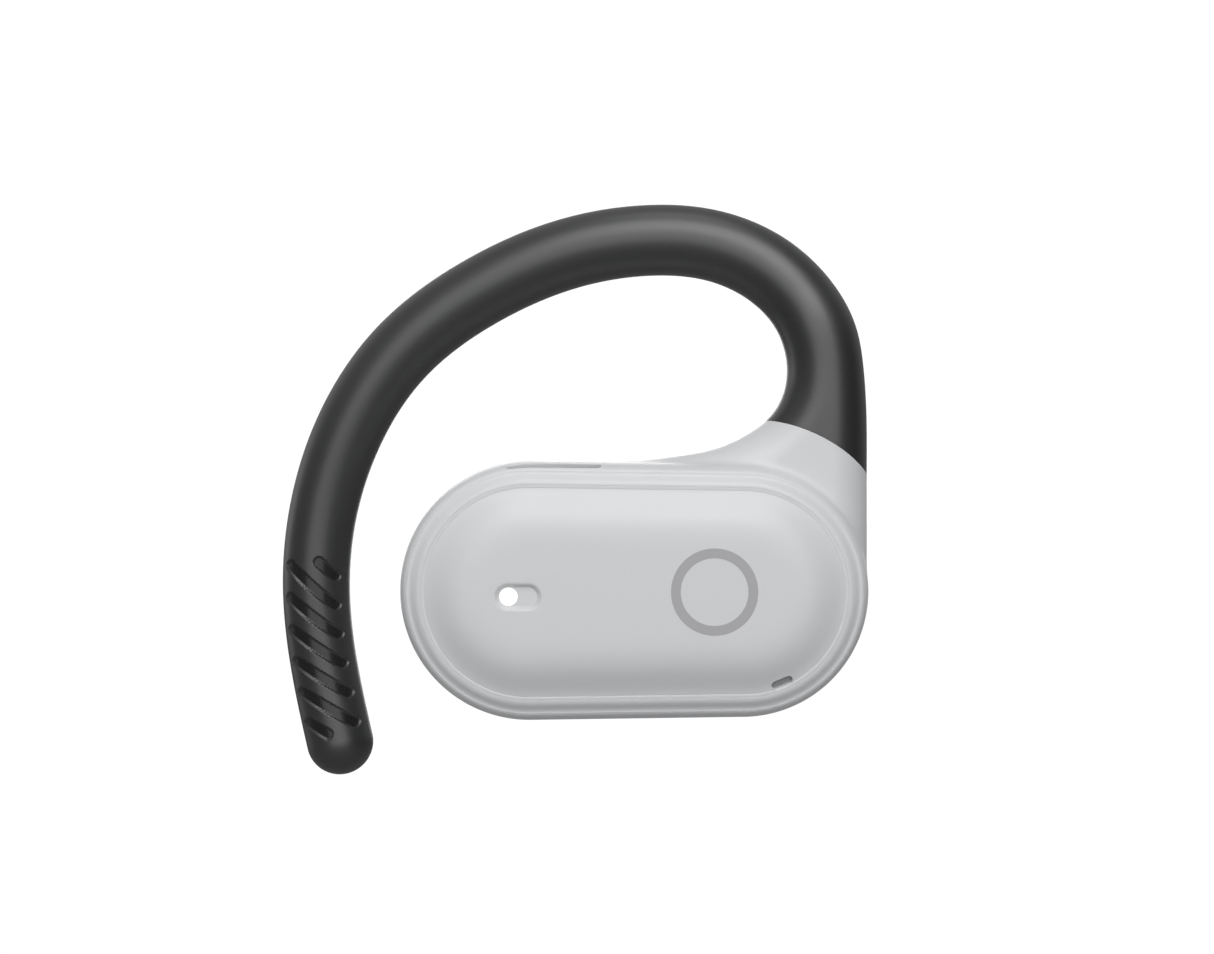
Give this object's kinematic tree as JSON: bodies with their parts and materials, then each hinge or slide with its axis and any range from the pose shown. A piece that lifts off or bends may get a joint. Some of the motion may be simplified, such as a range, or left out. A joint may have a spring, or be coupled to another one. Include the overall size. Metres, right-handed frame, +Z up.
{
  "type": "open-ear hook earphone",
  "caption": "Open-ear wireless earphone for the right ear: a flat pill-shaped housing with a speaker facing the ear, hung from a flexible silicone-covered ear hook with a ribbed tail",
  "frame": {"origin": "underside of the hook's crest, where it rests on the root of the ear", "axes": "+X points to the front of the head, +Y towards the head, +Z up; the outer face looks along -Y"},
  "size_m": [0.0501, 0.0149, 0.0491],
  "materials": {
    "shell": "satin moulded plastic, light cool grey",
    "face": "satin moulded plastic, light cool grey",
    "silicone": "matte soft-touch silicone, dark grey",
    "lens": "milky clear moulding",
    "steel_mesh": "woven steel mesh, dark",
    "board": "green solder mask",
    "chip": "black moulded package",
    "can": "plain nickel-plated steel",
    "wire": "spring alloy wire",
    "gold": "gold-plated contact",
    "copper": "enamelled copper winding",
    "frame": "black glass-filled plastic",
    "rubber": "soft black foam or rubber",
    "film": "amber polyimide film"
  },
  "bodies": {
    "housing": {"main_shell": "shell", "cover_bezel": "shell", "ear_cover": "shell", "face_panel": "face", "sleeve_root": "silicone", "light_pipe": "lens", "indicator_led": "lens", "mic_mesh": "steel_mesh", "vent_mesh": "steel_mesh", "speaker_mesh": "steel_mesh", "main_board": "board", "driver_terminals": "board", "bluetooth_chip": "chip", "power_chip": "chip", "memory_chip": "chip", "power_inductor": "chip", "crystal": "can", "talk_microphone": "can", "board_screw_rear": "can", "board_screw_front": "can", "battery": "can", "battery_tab_positive": "can", "battery_tab_negative": "can", "case_magnet": "can", "driver_yoke": "can", "driver_magnet": "can", "driver_pole_plate": "can", "root_pin": "can", "core_wire": "wire", "charge_contact_upper": "gold", "charge_contact_lower": "gold", "inner_frame": "frame", "driver_frame": "frame", "hook_root_insert": "frame", "front_seal": "rubber", "rear_seal": "rubber", "mic_gasket": "rubber", "battery_pad": "rubber", "driver_gasket": "rubber", "touch_sensor": "film", "contact_flex": "film", "antenna_flex": "film"},
    "hook_front": {"sleeve_front": "silicone"},
    "hook_rear": {"sleeve_rear": "silicone"},
    "hook_tail": {"sleeve_tail": "silicone", "wire_end_bead": "wire"},
    "driver_cone": {"diaphragm": "film", "voice_coil": "copper"}
  },
  "joints": [
    {"name": "front_flex", "type": "hinge", "parent": "housing", "child": "hook_front", "pos_m": [0.01325, -0.0026, -0.00505], "axis": [0, 1, 0], "range_deg": [-2, 12], "stiffness_Nm_per_rad": 0.12, "deforming": ["core_wire"]},
    {"name": "hook_splay", "type": "hinge", "parent": "hook_front", "child": "hook_rear", "pos_m": [-0.0078, 0.0007, 0.002], "axis": [1, 0, 0], "range_deg": [-10, 10], "stiffness_Nm_per_rad": 0.1, "deforming": ["core_wire"]},
    {"name": "rear_flex", "type": "hinge", "parent": "hook_rear", "child": "hook_tail", "pos_m": [-0.02665, 0.0022, -0.01265], "axis": [0, 1, 0], "range_deg": [-2, 12], "stiffness_Nm_per_rad": 0.08, "deforming": ["core_wire"]},
    {"name": "cone_travel", "type": "slide", "parent": "housing", "child": "driver_cone", "axis": [0, 1, 0], "range_m": [-0.0003, 0.0003], "stiffness_N_per_m": 190}
  ],
  "couplings": [
    {"joint": "rear_flex", "follows": "front_flex", "ratio": 1}
  ]
}
